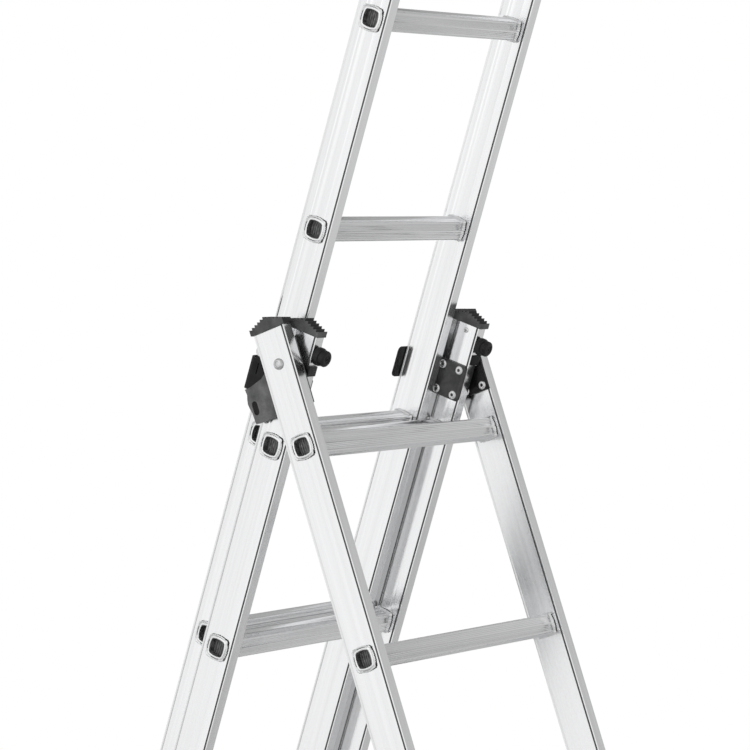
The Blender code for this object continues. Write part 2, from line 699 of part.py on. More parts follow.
def make_hook_pin(side, sign, frame):
    far = UPPER_HALF - STILE_WIDTH - GAP
    near = far - 3.0
    profile = [(near - 2.4, 0.0), (near - 2.0, 5.2), (near - GAP, 6.4), (near - GAP, 3.0), (far + 3.6, 3.0)]
    profile += [(far + 3.6, 0.0)]
    fixing(f"rung_hook_pin_{side}", frame, sign, profile, 12, (0, 0, 0), bright_steel)


# ---- assembly ---------------------------------------------------------------------------------------------
def along_section(lean, y, z):
    """World (y, z) of a point given in a leaning section's frame."""
    return (y * math.cos(lean) - z * math.sin(lean), y * math.sin(lean) + z * math.cos(lean))


MIDDLE_AT = (0.0, CENTRE_SHIFT, FLOOR_TO_RUNG)
HINGE_LOCAL = along_section(LEAN, HINGE_BACK, HINGE_ABOVE_MIDDLE)
HINGE_AT = (0.0, MIDDLE_AT[1] + HINGE_LOCAL[0], MIDDLE_AT[2] + HINGE_LOCAL[1])
FRONT_RUNG_LIFT = HINGE_LOCAL[1] - HINGE_ABOVE_FRONT * math.cos(LEAN)
UPPER_LOCAL = along_section(LEAN, NEST, 0.0)
UPPER_AT = (0.0, MIDDLE_AT[1] + UPPER_LOCAL[0], MIDDLE_AT[2] + UPPER_LOCAL[1])


def build_middle():
    frame = section_frame("middle_section", MIDDLE_AT, LEAN)
    heights = [-PITCH * step for step in range(RUNG_COUNT)]
    for side, sign in SIDES:
        centre = sign * (MIDDLE_HALF - STILE_WIDTH / 2)
        cuts = [cylinder_mesh(RIVET_HOLE, centre - 12, centre + 12, "X", 10, place_yz) for place_yz in RIVET_PLACES]
        cuts.append(cylinder_mesh(3.9 + GAP, -HALF_DEPTH - 3, -HALF_DEPTH + 6, "Y", 16, (centre, KNOB_HEIGHT)))
        face = sign * (MIDDLE_HALF - STILE_WIDTH)
        ends = sorted((face - sign * 2, face + sign * 4))
        cuts.append(cylinder_mesh(2.5, ends[0], ends[1], "X", 10, (-5.1, 148.0)))
        make_stile("middle", side, sign, MIDDLE_HALF, frame, STILE_END, STILE_ABOVE, heights, cuts)
        make_top_cap("middle", side, sign, MIDDLE_HALF, frame, slope_front=True)
        make_middle_foot(side, sign, frame)
        make_outer_bracket(side, sign, frame)
        make_inner_plate(side, sign, frame)
        make_cap_screw(side, sign, frame)
        make_plunger(side, sign, frame)
        make_spring(side, sign, frame)
    make_rungs("middle", MIDDLE_HALF, frame, heights)


def build_upper():
    frame = section_frame("upper_section", UPPER_AT, LEAN)
    heights = [PITCH * (UPPER_RAISED - step) for step in range(RUNG_COUNT)]
    low = heights[-1] - STILE_BELOW
    high = heights[0] + STILE_ABOVE
    pivot = heights[-1] + HOOK_PIVOT
    for side, sign in SIDES:
        face = sign * (UPPER_HALF - STILE_WIDTH)
        ends = sorted((face - sign * 2, face + sign * 4))
        cuts = [cylinder_mesh(3.0 + GAP, ends[0], ends[1], "X", 12, (0.0, pivot))]
        make_stile("upper", side, sign, UPPER_HALF, frame, low, high, heights, cuts)
        make_end_plug(f"upper_top_plug_{side}", sign, UPPER_HALF, frame, high, 1, black_plastic)
        make_end_plug(f"upper_bottom_plug_{side}", sign, UPPER_HALF, frame, low, -1, black_plastic)
    make_rungs("upper", UPPER_HALF, frame, heights)
    y, z = along_section(LEAN, 0.0, pivot)
    hook_frame = section_frame("rung_hook_axis", (0.0, UPPER_AT[1] + y, UPPER_AT[2] + z), LEAN)
    for side, sign in SIDES:
        make_rung_hook(side, sign, hook_frame)
        make_hook_pin(side, sign, hook_frame)


def build_front():
    frame = section_frame("front_section", HINGE_AT, -LEAN)
    heights = [-PITCH * step - HINGE_ABOVE_FRONT for step in range(RUNG_COUNT)]
    low = STILE_END - HINGE_ABOVE_FRONT
    high = STILE_ABOVE - HINGE_ABOVE_FRONT
    for side, sign in SIDES:
        centre = sign * (FRONT_HALF - STILE_WIDTH / 2)
        face = sign * (FRONT_HALF - STILE_WIDTH)
        ends = sorted((face - sign * 2, face + sign * 4))
        cuts = [cylinder_mesh(BOLT_RADIUS + GAP, centre - 12, centre + 12, "X", 16)]
        cuts += [cylinder_mesh(RIVET_HOLE, ends[0], ends[1], "X", 10, spot) for spot in hinge_local(FRONT_RIVETS)]
        spot = (sign * BOLT_ACROSS, BOLT_HEIGHT)
        cuts.append(cylinder_mesh(3.5 + GAP, -HALF_DEPTH - 3, -HALF_DEPTH + 6, "Y", 12, spot))
        make_stile("front", side, sign, FRONT_HALF, frame, low, high, heights, cuts)
        make_front_plate(side, sign, frame)
        make_shoe(side, sign, frame)
    make_rungs("front", FRONT_HALF, frame, heights)
    top_frame = section_frame("front_top", (0.0, *front_top_rung()), -LEAN)
    for side, sign in SIDES:
        make_top_cap("front", side, sign, FRONT_HALF, top_frame, slope_front=False)
    make_stabiliser(frame)


def front_top_rung():
    y, z = along_section(-LEAN, 0.0, -HINGE_ABOVE_FRONT)
    return (HINGE_AT[1] + y, HINGE_AT[2] + z)


def build_hinge():
    frame = section_frame("hinge_axis", HINGE_AT, LEAN)
    for side, sign in SIDES:
        make_hinge_slide(side, sign, frame)
        make_hinge_bolt(side, sign, frame)


clear_scene()
parts = new_collection("combination_ladder")
cutters = new_collection("cutters")
cutters.hide_render = True
aluminium = finish_material("aluminium", (0.83, 0.84, 0.85), 0.32, 1.0)
aluminium_rung = finish_material("aluminium_rung", (0.72, 0.73, 0.74), 0.38, 1.0)
bright_steel = finish_material("bright_steel", (0.62, 0.62, 0.63), 0.28, 1.0)
dark_steel = finish_material("dark_steel", (0.07, 0.07, 0.075), 0.45, 0.2)
black_plastic = finish_material("black_plastic", (0.02, 0.02, 0.022), 0.5, 0.0)
build_middle()
build_upper()
build_front()
build_hinge()
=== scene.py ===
import json
import math

import bmesh
import bpy
from mathutils import Matrix, Vector


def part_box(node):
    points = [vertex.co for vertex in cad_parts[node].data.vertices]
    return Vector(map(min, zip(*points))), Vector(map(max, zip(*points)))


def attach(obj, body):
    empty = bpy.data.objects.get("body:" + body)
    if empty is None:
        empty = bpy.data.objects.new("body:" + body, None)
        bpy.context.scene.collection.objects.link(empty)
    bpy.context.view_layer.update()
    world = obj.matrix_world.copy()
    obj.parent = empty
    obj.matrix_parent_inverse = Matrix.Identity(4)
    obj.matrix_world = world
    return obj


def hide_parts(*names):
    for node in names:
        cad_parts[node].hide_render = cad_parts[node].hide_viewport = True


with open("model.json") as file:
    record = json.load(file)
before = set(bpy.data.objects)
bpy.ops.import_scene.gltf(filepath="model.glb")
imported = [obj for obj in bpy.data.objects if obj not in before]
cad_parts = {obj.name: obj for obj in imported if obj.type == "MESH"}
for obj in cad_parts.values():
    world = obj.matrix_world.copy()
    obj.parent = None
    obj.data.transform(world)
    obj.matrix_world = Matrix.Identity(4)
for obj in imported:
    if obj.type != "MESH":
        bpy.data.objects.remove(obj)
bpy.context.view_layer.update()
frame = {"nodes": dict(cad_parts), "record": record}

# ---- Standpoint --------------------------------------------------------------------------------------------
# The ladder stands open as an A, seen from its left and a little in front, at the height of the hinge.
# Positions count from the middle section's top rung, which sits in the middle of the ladder's width.
MM = 0.001
LEAN = math.radians(19.0)


def middle_of(node):
    low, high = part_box(node)
    return (Vector(low) + Vector(high)) / 2


top_rung = middle_of("middle_rung_1")
azimuth = math.radians(55.59)
elevation = math.radians(2.24)
roll = math.radians(-0.70)
distance = 4.6599
shift_right = 0.0221
shift_up = 0.0832
level = math.cos(elevation)
ahead = Vector((math.sin(azimuth) * level, math.cos(azimuth) * level, -math.sin(elevation)))
level_right = Vector((math.cos(azimuth), -math.sin(azimuth), 0.0))
level_up = level_right.cross(ahead)
right = level_right * math.cos(roll) + level_up * math.sin(roll)
up = level_up * math.cos(roll) - level_right * math.sin(roll)
eye = top_rung - ahead * distance + level_right * shift_right + level_up * shift_up
camera = bpy.data.objects.new("standpoint", bpy.data.cameras.new("standpoint"))
bpy.context.scene.collection.objects.link(camera)
camera.matrix_world = Matrix(((right.x, up.x, -ahead.x, eye.x),
                              (right.y, up.y, -ahead.y, eye.y),
                              (right.z, up.z, -ahead.z, eye.z),
                              (0, 0, 0, 1)))
camera.data.lens = 168.18
camera.data.sensor_width = 36.0
camera.data.clip_end = 60.0
bpy.context.scene.camera = camera


# ---- Studio ------------------------------------------------------------------------------------------------
# A round pale floor in a white room with one large soft lamp. The room is brighter on the ladder's left than on
# its right, and a little darker overhead, so that bare metal gets light broad faces and greyer edges.
class Wire:
    """A node's output that can stand in a sum; an expression on it adds the Math nodes."""

    def __init__(self, tree, socket=None):
        self.tree = tree
        self.socket = socket

    def node(self, kind, inputs=None, output=0, **settings):
        made = self.tree.nodes.new(kind)
        for key, value in settings.items():
            setattr(made, key, value)
        for key, value in (inputs or {}).items():
            if isinstance(value, Wire):
                self.tree.links.new(value.socket, made.inputs[key])
            else:
                made.inputs[key].default_value = value
        return Wire(self.tree, made.outputs[output] if made.outputs else None)

    def maths(self, operation, first, second=0.0):
        return self.node("ShaderNodeMath", {0: first, 1: second}, operation=operation)

    def __add__(self, other):
        return self.maths("ADD", self, other)

    __radd__ = __add__

    def __mul__(self, other):
        return self.maths("MULTIPLY", self, other)

    __rmul__ = __mul__

    def __sub__(self, other):
        return self.maths("SUBTRACT", self, other)

    def __rsub__(self, other):
        return self.maths("SUBTRACT", other, self)

    def __pow__(self, other):
        return self.maths("POWER", self, other)


room = bpy.data.worlds.new("white_room")
bpy.context.scene.world = room
room.use_nodes = True
room.node_tree.nodes.clear()
air = Wire(room.node_tree)
way = air.node("ShaderNodeTexCoord", output="Generated")
parted = air.node("ShaderNodeSeparateXYZ", {0: way})
across, along, above = [Wire(room.node_tree, socket) for socket in parted.socket.node.outputs]
glow = 0.703 - across * 0.222 - across * along * 0.139 - above * 0.138
seen = air.node("ShaderNodeLightPath", output="Is Camera Ray")
strength = air.node("ShaderNodeMix", {0: seen, 2: glow, 3: 1.0}, data_type="FLOAT")
backdrop = air.node("ShaderNodeBackground", {"Color": (1.0, 1.0, 1.0, 1.0), "Strength": strength})
air.node("ShaderNodeOutputWorld", {"Surface": backdrop})
bpy.context.scene.view_settings.view_transform = "Standard"

FLOOR_RADIUS = 4.0
floor_mesh = bmesh.new()
bmesh.ops.create_circle(floor_mesh, cap_ends=True, segments=96, radius=FLOOR_RADIUS)
floor_data = bpy.data.meshes.new("floor")
floor_mesh.to_mesh(floor_data)
floor_mesh.free()
floor = bpy.data.objects.new("floor", floor_data)
bpy.context.scene.collection.objects.link(floor)
floor_paint = bpy.data.materials.new("pale_floor")
floor_paint.use_nodes = True
floor_shader = floor_paint.node_tree.nodes["Principled BSDF"]
floor_shader.inputs["Base Color"].default_value = (0.82, 0.82, 0.82, 1.0)
floor_shader.inputs["Roughness"].default_value = 0.9
floor_data.materials.append(floor_paint)

softbox = bpy.data.lights.new("softbox", "AREA")
softbox.shape = "RECTANGLE"
softbox.size = 2.6
softbox.size_y = 3.4
softbox.energy = 7.0
softbox_stand = bpy.data.objects.new("softbox", softbox)
bpy.context.scene.collection.objects.link(softbox_stand)
softbox_stand.location = top_rung + Vector((-3.4, 0.4, 1.3))
softbox_stand.rotation_euler = (top_rung - softbox_stand.location).to_track_quat("-Z", "Y").to_euler()


# ---- Stiles ------------------------------------------------------------------------------------------------
# Six extruded aluminium box sections with a proud lip along each edge and a fine groove beside the front lip.
# The middle and upper ones have low ribs on their broad faces; each has six square holes for the rungs.
# The front ones stay open at the foot, where the stabiliser bar is bolted across them.
STILE_WIDTH = 16.4
STILE_HALF_DEPTH = 24.7
STILE_TOP = 156.2
STILE_BOTTOM = -1600.0
RUNG_PITCH = 280.0
RUNGS = 6
SECTIONS = {"front": -LEAN, "middle": LEAN, "upper": LEAN}
GRAIN_TURNS = {"front": -LEAN, "back": LEAN}
SIDES = (("left", -1), ("right", 1))
body_of_node = {}
for body, nodes in frame["record"]["behaviour"]["bodies"].items():
    for node in nodes:
        body_of_node[node] = body


def section_matrix(section):
    return Matrix.Translation(middle_of(f"{section}_rung_1")) @ Matrix.Rotation(SECTIONS[section], 4, "X")


def half_width(section):
    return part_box(f"{section}_stile_right")[1][0] / MM


def new_finish(name):
    made = bpy.data.materials.new(name)
    made.use_nodes = True
    return made, made.node_tree.nodes["Principled BSDF"], Wire(made.node_tree)


def feed(shader, socket, wire):
    wire.tree.links.new(wire.socket, shader.inputs[socket])


def stretched(wire, turn, scale, detail):
    """Noise on the piece's own coordinates, turned by turn about X and then stretched."""
    where = wire.node("ShaderNodeTexCoord", output="Object")
    laid = wire.node("ShaderNodeMapping", {"Vector": where, "Rotation": (-turn, 0.0, 0.0)})
    sized = wire.node("ShaderNodeVectorMath", {0: laid, 1: scale}, operation="MULTIPLY")
    settings = {"Vector": sized, "Scale": 1.0, "Detail": detail, "Roughness": 0.55}
    return wire.node("ShaderNodeTexNoise", settings)


def grey(wire, value):
    """A barely cool grey."""
    return wire.node("ShaderNodeCombineColor", {0: value, 1: value * 1.004, 2: value * 1.012})


def drawn_aluminium(name, turn, tone, along_x=False):
    """Bare extruded aluminium: die lines along the length, faint clouding, a satin shine."""
    made, shader, wire = new_finish(name)
    fine = (4.0, 1400.0, 1400.0) if along_x else (1400.0, 1400.0, 3.0)
    broad = (3.0, 260.0, 260.0) if along_x else (160.0, 160.0, 1.5)
    lines = stretched(wire, turn, fine, 3.0)
    bands = stretched(wire, turn, broad, 2.0)
    clouds = stretched(wire, turn, (14.0, 14.0, 5.0), 3.0)
    tint = tone + (lines - 0.5) * 0.10 + (bands - 0.5) * 0.16 + (clouds - 0.5) * 0.06
    feed(shader, "Base Color", grey(wire, tint))
    feed(shader, "Roughness", 0.20 + (bands - 0.5) * 0.14 + (clouds - 0.5) * 0.12)
    shader.inputs["Metallic"].default_value = 1.0
    relief = lines * 0.6 + bands * 0.4
    bump = wire.node("ShaderNodeBump", {"Height": relief, "Strength": 0.10, "Distance": 0.0004})
    feed(shader, "Normal", bump)
    return made


def shadow_gap(name, turn):
    """Dull dark grey metal for the bottoms of grooves and recesses, as painted shade where the shade falls in them.
    """
    made, shader, wire = new_finish(name)
    specks = stretched(wire, turn, (900.0, 900.0, 30.0), 3.0)
    feed(shader, "Base Color", grey(wire, 0.13 + specks * 0.14))
    feed(shader, "Roughness", 0.55 + specks * 0.2)
    shader.inputs["Metallic"].default_value = 0.8
    return made


stile_finish = {turn: drawn_aluminium(f"drawn_aluminium_{word}", turn, 0.90)
                for word, turn in GRAIN_TURNS.items()}
# Painted shade for the bottoms of the stiles' grooves and of the grooves in the rungs' rolled rims.
groove_painted_shade = {turn: shadow_gap(f"groove_{word}", turn) for word, turn in GRAIN_TURNS.items()}


def piece_from(name, bm, finishes, smooth_angle=30.0):
    """Puts a finished mesh in the scene as a piece with its finishes."""
    data = bpy.data.meshes.new(name)
    bm.to_mesh(data)
    bm.free()
    for finish in finishes:
        data.materials.append(finish)
    data.shade_smooth()
    data.set_sharp_from_angle(angle=math.radians(smooth_angle))
    made = bpy.data.objects.new(name, data)
    bpy.context.scene.collection.objects.link(made)
    return made


def cut_from(made, cutter_mesh):
    """Cuts a mesh out of a piece and keeps the result as the piece's own mesh."""
    data = bpy.data.meshes.new("cutter")
    cutter_mesh.to_mesh(data)
    cutter_mesh.free()
    cutter = bpy.data.objects.new("cutter", data)
    bpy.context.scene.collection.objects.link(cutter)
    modifier = made.modifiers.new("cut", "BOOLEAN")
    modifier.object = cutter
    modifier.operation = "DIFFERENCE"
    modifier.solver = "EXACT"
    graph = bpy.context.evaluated_depsgraph_get()
    result = bpy.data.meshes.new_from_object(made.evaluated_get(graph))
    made.modifiers.clear()
    made.data = result
    bpy.data.objects.remove(cutter)


WEB = 1.0
RIB_TOP = 0.9
RIB_SLOPE = 0.9
GROOVE_FLOOR = 1.9


def stile_face(ribs):
    """Points across one broad face, as (place across the depth, how far the surface lies in)."""
    points = [(-STILE_HALF_DEPTH, 0.35), (-24.35, 0.0), (-23.1, 0.0), (-22.8, 0.3)]
    points += [(-22.7, GROOVE_FLOOR), (-20.0, GROOVE_FLOOR), (-19.8, WEB)]
    for centre, width in ribs:
        low = centre - width / 2
        high = centre + width / 2
        points += [(low - RIB_SLOPE, WEB), (low, RIB_TOP), (high, RIB_TOP), (high + RIB_SLOPE, WEB)]
    points += [(21.4, WEB), (22.1, 0.5), (22.4, 0.3), (22.9, 0.3)]
    points += [(23.2, 0.0), (24.2, 0.0), (STILE_HALF_DEPTH, 0.5)]
    return points


def stile_mesh(half, sign, ribs):
    """One stile, extruded along Z, with its outer face at half and the bottom of its groove in dark grey as painted
    shade.
    """
    face = stile_face(ribs)
    outline = [(half - inset, depth) for depth, inset in face]
    outline += [(half - STILE_WIDTH + inset, depth) for depth, inset in reversed(face)]
    bm = bmesh.new()
    ring = [bm.verts.new((sign * x * MM, y * MM, STILE_BOTTOM * MM)) for x, y in outline]
    end = bm.faces.new(ring)
    far_end = bmesh.ops.extrude_face_region(bm, geom=[end])
    far_verts = [item for item in far_end["geom"] if isinstance(item, bmesh.types.BMVert)]
    bmesh.ops.translate(bm, verts=far_verts, vec=(0, 0, (STILE_TOP - STILE_BOTTOM) * MM))
    bmesh.ops.recalc_face_normals(bm, faces=bm.faces)
    for side_face in bm.faces:
        middle = side_face.calc_center_median()
        depth = middle.y / MM
        inset = min(half - sign * middle.x / MM, sign * middle.x / MM - half + STILE_WIDTH)
        # The faces at the bottom of the groove beside the front lip take the dark grey as painted shade.
        if len(side_face.verts) == 4 and -22.78 < depth < -19.82 and inset > WEB:
            side_face.material_index = 1
    return bm


HOLE_HALF_SIDE = 13.2
HOLE_CORNER = 4.6
OVERCUT = 4.0


def square_hole(height, x_low, x_high):
    """A cutter for one rung's hole, with round corners."""
    bm = bmesh.new()
    size = Matrix.Diagonal(((x_high - x_low) * MM, 2 * HOLE_HALF_SIDE * MM, 2 * HOLE_HALF_SIDE * MM, 1))
    place = Matrix.Translation(((x_low + x_high) / 2 * MM, 0, height * MM))
    bmesh.ops.create_cube(bm, size=1, matrix=place @ size)
    along_x = [edge for edge in bm.edges if abs(edge.verts[0].co.x - edge.verts[1].co.x) > 0.001]
    bmesh.ops.bevel(bm, geom=along_x, offset=HOLE_CORNER * MM, affect="EDGES",
                    segments=3, profile=0.5, material=-1)
    return bm


def add_to(bm, other):
    """Puts a second mesh into the first and frees it."""
    holder = bpy.data.meshes.new("holder")
    other.to_mesh(holder)
    other.free()
    bm.from_mesh(holder)
    bpy.data.meshes.remove(holder)


BACK_RIBS = [(-6.0, 5.5), (8.5, 3.0), (14.0, 1.6)]
STILE_RIBS = {"front": [], "middle": BACK_RIBS, "upper": BACK_RIBS}
WALL = 2.6
OPEN_HALF_DEPTH = 22.9
OPEN_HEIGHT = 160.0
for section, turn in SECTIONS.items():
    half = half_width(section)
    for side, sign in SIDES:
        bm = stile_mesh(half, sign, STILE_RIBS[section])
        finishes = [stile_finish[turn], groove_painted_shade[turn]]
        stile = piece_from(f"{section}_stile_{side}_skin", bm, finishes, 12.0)
        holes = bmesh.new()
        reach = sorted((sign * (half + OVERCUT), sign * (half - STILE_WIDTH - OVERCUT)))
        for step in range(RUNGS):
            add_to(holes, square_hole(-RUNG_PITCH * step, reach[0], reach[1]))
        if section == "front":
            mouth = bmesh.new()
            size = Matrix.Diagonal(((STILE_WIDTH - 2 * WALL) * MM, 2 * OPEN_HALF_DEPTH * MM, OPEN_HEIGHT * MM, 1))
            place = Matrix.Translation((sign * (half - STILE_WIDTH / 2) * MM, 0, STILE_BOTTOM * MM))
            bmesh.ops.create_cube(mouth, size=1, matrix=place @ size)
            add_to(holes, mouth)
        cut_from(stile, holes)
        stile.data.transform(section_matrix(section))
        node = f"{section}_stile_{side}"
        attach(stile, body_of_node[node])
        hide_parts(node)


# ---- Rungs -------------------------------------------------------------------------------------------------
# Square aluminium tubes with fine grip ribs along them. Each end is pushed through its stile, swaged to a collar
# inside it and rolled over outside it; the groove in the rolled rim is coloured dark grey as painted shade. The
# mouth is closed a little way in by an end wall, and that wall and the bore are coloured near black as painted shade
# of the deep tube.
def painted_mouth_shade(turn):
    """Painted shade for the deep mouth of a rung: near black, with fine upright stripes and pale specks."""
    made, shader, wire = new_finish("rung_mouth_painted_shade")
    where = wire.node("ShaderNodeTexCoord", output="Object")
    laid = wire.node("ShaderNodeMapping", {"Vector": where, "Rotation": (-turn, 0.0, 0.0)})
    settings = {"Vector": laid, "Scale": 95.0, "Distortion": 0.4, "Detail": 1.0}
    stripes = wire.node("ShaderNodeTexWave", settings, output="Fac", bands_direction="Y")
    grain = stretched(wire, turn, (700.0, 700.0, 200.0), 3.0)
    feed(shader, "Base Color", grey(wire, 0.014 + (stripes ** 3.0) * 0.12 + (grain ** 4.0) * 0.9))
    feed(shader, "Roughness", 0.42 + grain * 0.2)
    relief = stripes + grain * 0.3
    bump = wire.node("ShaderNodeBump", {"Height": relief, "Strength": 0.35, "Distance": 0.0006})
    feed(shader, "Normal", bump)
    return made


rung_finish = {turn: drawn_aluminium(f"ribbed_aluminium_{word}", turn, 0.86, along_x=True)
               for word, turn in GRAIN_TURNS.items()}
mouth_shade_finishes = {turn: painted_mouth_shade(turn) for turn in GRAIN_TURNS.values()}


def grown_ring(bm, ring, shift, factor):
    """Extrudes the ring of edges to a new place along X and size, and returns the new ring."""
    made = bmesh.ops.extrude_edge_only(bm, edges=ring)["geom"]
    verts = [item for item in made if isinstance(item, bmesh.types.BMVert)]
    bmesh.ops.translate(bm, verts=verts, vec=(shift * MM, 0, 0))
    bmesh.ops.scale(bm, verts=verts, vec=(1, factor, factor))
    return [item for item in made if isinstance(item, bmesh.types.BMEdge)
            and all(vert in verts for vert in item.verts)]


RUNG_HALF_SIDE = 13.3
RUNG_CORNER = 3.0
RUNG_RIBS = 9
RIB_DEPTH = 0.5
SWAGE_LENGTH = 3.0
SWAGE_ROUNDNESS = 0.5


def ribbed_square(bm, x):
    """A square ring across X with round corners and ribs along its four sides."""
    directions = ((-1, -1), (1, -1), (1, 1), (-1, 1))
    reach = RUNG_HALF_SIDE
    corners = [bm.verts.new((x * MM, y * reach * MM, z * reach * MM)) for y, z in directions]
    edges = [bm.edges.new((corners[index], corners[(index + 1) % 4])) for index in range(4)]
    bmesh.ops.bevel(bm, geom=corners + edges, offset=RUNG_CORNER * MM, affect="VERTICES",
                    segments=4, profile=0.5, material=-1)
    long_edges = [edge for edge in bm.edges if edge.calc_length() > RUNG_CORNER * MM]
    bmesh.ops.subdivide_edges(bm, edges=long_edges, cuts=2 * RUNG_RIBS)
    sunk = 1 - RIB_DEPTH / reach
    for vert in bm.verts:
        height = max(abs(vert.co.y), abs(vert.co.z))
        if abs(height - reach * MM) > 0.00001:
            continue
        place = min(abs(vert.co.y), abs(vert.co.z)) / MM
        limit = reach - RUNG_CORNER
        step = int(round((place + limit) / (2 * limit / (2 * RUNG_RIBS + 1))))
        if place < limit - 0.3 and step % 2 == 0:
            bmesh.ops.scale(bm, verts=[vert], vec=(1, sunk, sunk))
    return list(bm.edges)


def rung_mesh(half):
    """One rung along X: the ribbed ring, carried from mouth to mouth through its collars and rolled rims."""
    inner = half - STILE_WIDTH
    collar = [(inner - 5.5, RUNG_HALF_SIDE), (inner - 3.6, 14.6), (inner - 2.6, 16.0), (inner - 1.2, 16.3),
              (inner - 0.4, 15.9), (inner - 0.4, 13.0)]
    rim = [(half + 0.3, 13.0), (half + 0.3, 17.1), (half + 0.8, 17.2), (half + 1.3, 16.7), (half + 1.5, 16.1),
           (half + 1.2, 15.3), (half + 0.7, 14.8), (half + 1.1, 14.2), (half + 1.5, 13.4), (half + 1.55, 12.6)]
    mouth = [(half + 1.2, 11.8), (half + 0.4, 11.3), (half - 7.5, 11.1)]
    end = collar + rim + mouth
    stations = [(-x, size) for x, size in reversed(end)] + end
    bm = bmesh.new()
    first_x, first_size = stations[0]
    ring = ribbed_square(bm, first_x)
    start = first_size / RUNG_HALF_SIDE
    bmesh.ops.scale(bm, verts=bm.verts, vec=(1, start, start))
    bmesh.ops.holes_fill(bm, edges=ring, sides=0)
    now_x, now_size = first_x, first_size
    for x, size in stations[1:]:
        ring = grown_ring(bm, ring, x - now_x, size / now_size)
        now_x, now_size = x, size
    bmesh.ops.holes_fill(bm, edges=ring, sides=0)
    bmesh.ops.recalc_face_normals(bm, faces=bm.faces)
    if bm.calc_volume(signed=True) < 0:
        bmesh.ops.reverse_faces(bm, faces=bm.faces)
    for vert in bm.verts:
        out = abs(vert.co.x) / MM
        if out > inner - SWAGE_LENGTH:
            side = max(abs(vert.co.y), abs(vert.co.z))
            swaged = SWAGE_ROUNDNESS * min(1.0, (out - inner + SWAGE_LENGTH) / 1.5)
            factor = 1 - swaged + swaged * side / math.hypot(vert.co.y, vert.co.z)
            vert.co.y *= factor
            vert.co.z *= factor
    for face in bm.faces:
        middle = face.calc_center_median()
        reach = max(abs(middle.y), abs(middle.z)) / MM
        out = abs(middle.x) / MM
        # The bore and the end wall that closes it take the near-black finish as painted shade of the deep tube.
        if out > inner and reach < 11.6 and out < half + 0.9:
            face.material_index = 1
        # The groove in the rolled rim takes the dark grey as painted shade.
        elif half + 0.5 < out < half + 1.3 and 14.2 < reach < 15.6:
            face.material_index = 2
    return bm


for section, turn in SECTIONS.items():
    half = half_width(section)
    place = section_matrix(section)
    finishes = [rung_finish[turn], mouth_shade_finishes[turn], groove_painted_shade[turn]]
    for number in range(1, RUNGS + 1):
        name = f"{section}_rung_{number}"
        rung = piece_from(f"{name}_tube", rung_mesh(half), finishes, 32.0)
        rung.data.transform(place @ Matrix.Translation((0, 0, -RUNG_PITCH * (number - 1) * MM)))
        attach(rung, body_of_node[name])
        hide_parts(name)


# ---- Moulded caps, feet, shoes and plugs -------------------------------------------------------------------
# Black glass-filled nylon mouldings with a fine spark-eroded grain. The caps have a stepped tread, the feet
# and shoes a level sole; all are pushed over or into the ends of the stiles and of the stabiliser bar.
def moulded_nylon(name, tone, shine):
    """Grained black nylon with cloudy flow marks; tone is its lightness and shine its gloss."""
    made, shader, wire = new_finish(name)
    shader.inputs["Specular IOR Level"].default_value = shine
    grain = stretched(wire, 0.0, (1900.0, 1900.0, 1900.0), 2.0)
    flow = stretched(wire, 0.0, (60.0, 60.0, 60.0), 3.0)
    feed(shader, "Base Color", grey(wire, tone * ((flow ** 2.0) * 2.4 + grain * 0.8)))
    feed(shader, "Roughness", 0.46 + (flow - 0.5) * 0.24 + (grain - 0.5) * 0.12)
    relief = grain + flow * 0.4
    bump = wire.node("ShaderNodeBump", {"Height": relief, "Strength": 0.22, "Distance": 0.0003})
    feed(shader, "Normal", bump)
    return made


nylon = moulded_nylon("moulded_nylon", 0.075, 0.4)
# A darker copy of the same nylon: painted shade on the caps' treads and on their faces to the front and back.
cap_top_painted_shade = moulded_nylon("cap_top_painted_shade", 0.018, 0.3)


def merged_copy(node):
    """A copy of a node's mesh with its triangles joined and its flat faces whole again."""
    bm = bmesh.new()
    bm.from_mesh(frame["nodes"][node].data)
    bmesh.ops.remove_doubles(bm, verts=bm.verts, dist=0.00002)
    bmesh.ops.dissolve_limit(bm, angle_limit=math.radians(1.0), verts=bm.verts, edges=bm.edges)
    return bm


SHARP = math.radians(28.0)


def eased(bm, width, segments):
    """Rounds the sharp edges to a given width."""
    sharp = [edge for edge in bm.edges if len(edge.link_faces) == 2 and edge.calc_face_angle(0.0) > SHARP]
    bmesh.ops.bevel(bm, geom=sharp, offset=width * MM, affect="EDGES", segments=segments,
                    profile=0.5, material=-1, clamp_overlap=True)
    return bm


def finished_copy(node, suffix, width, finishes, segments=2):
    """The node's own shape with eased edges and its finish, in the node's place."""
    made = piece_from(f"{node}_{suffix}", eased(merged_copy(node), width, segments), finishes)
    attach(made, body_of_node[node])
    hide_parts(node)
    return made


for section in ("front", "middle"):
    for side, sign in SIDES:
        node = f"{section}_top_cap_{side}"
        cap = finished_copy(node, "moulding", 0.35, [nylon, cap_top_painted_shade])
        # Faces that look up, forward or back are coloured darker as painted shade; the faces to the sides keep the
        # plain nylon.
        for face in cap.data.polygons:
            if abs(face.normal.x) < 0.3 and face.normal.z > -0.3:
                face.material_index = 1
for side, sign in SIDES:
    for node in ("middle_foot", "stabiliser_shoe", "upper_top_plug", "upper_bottom_plug"):
        finished_copy(f"{node}_{side}", "moulding", 0.6, [nylon])


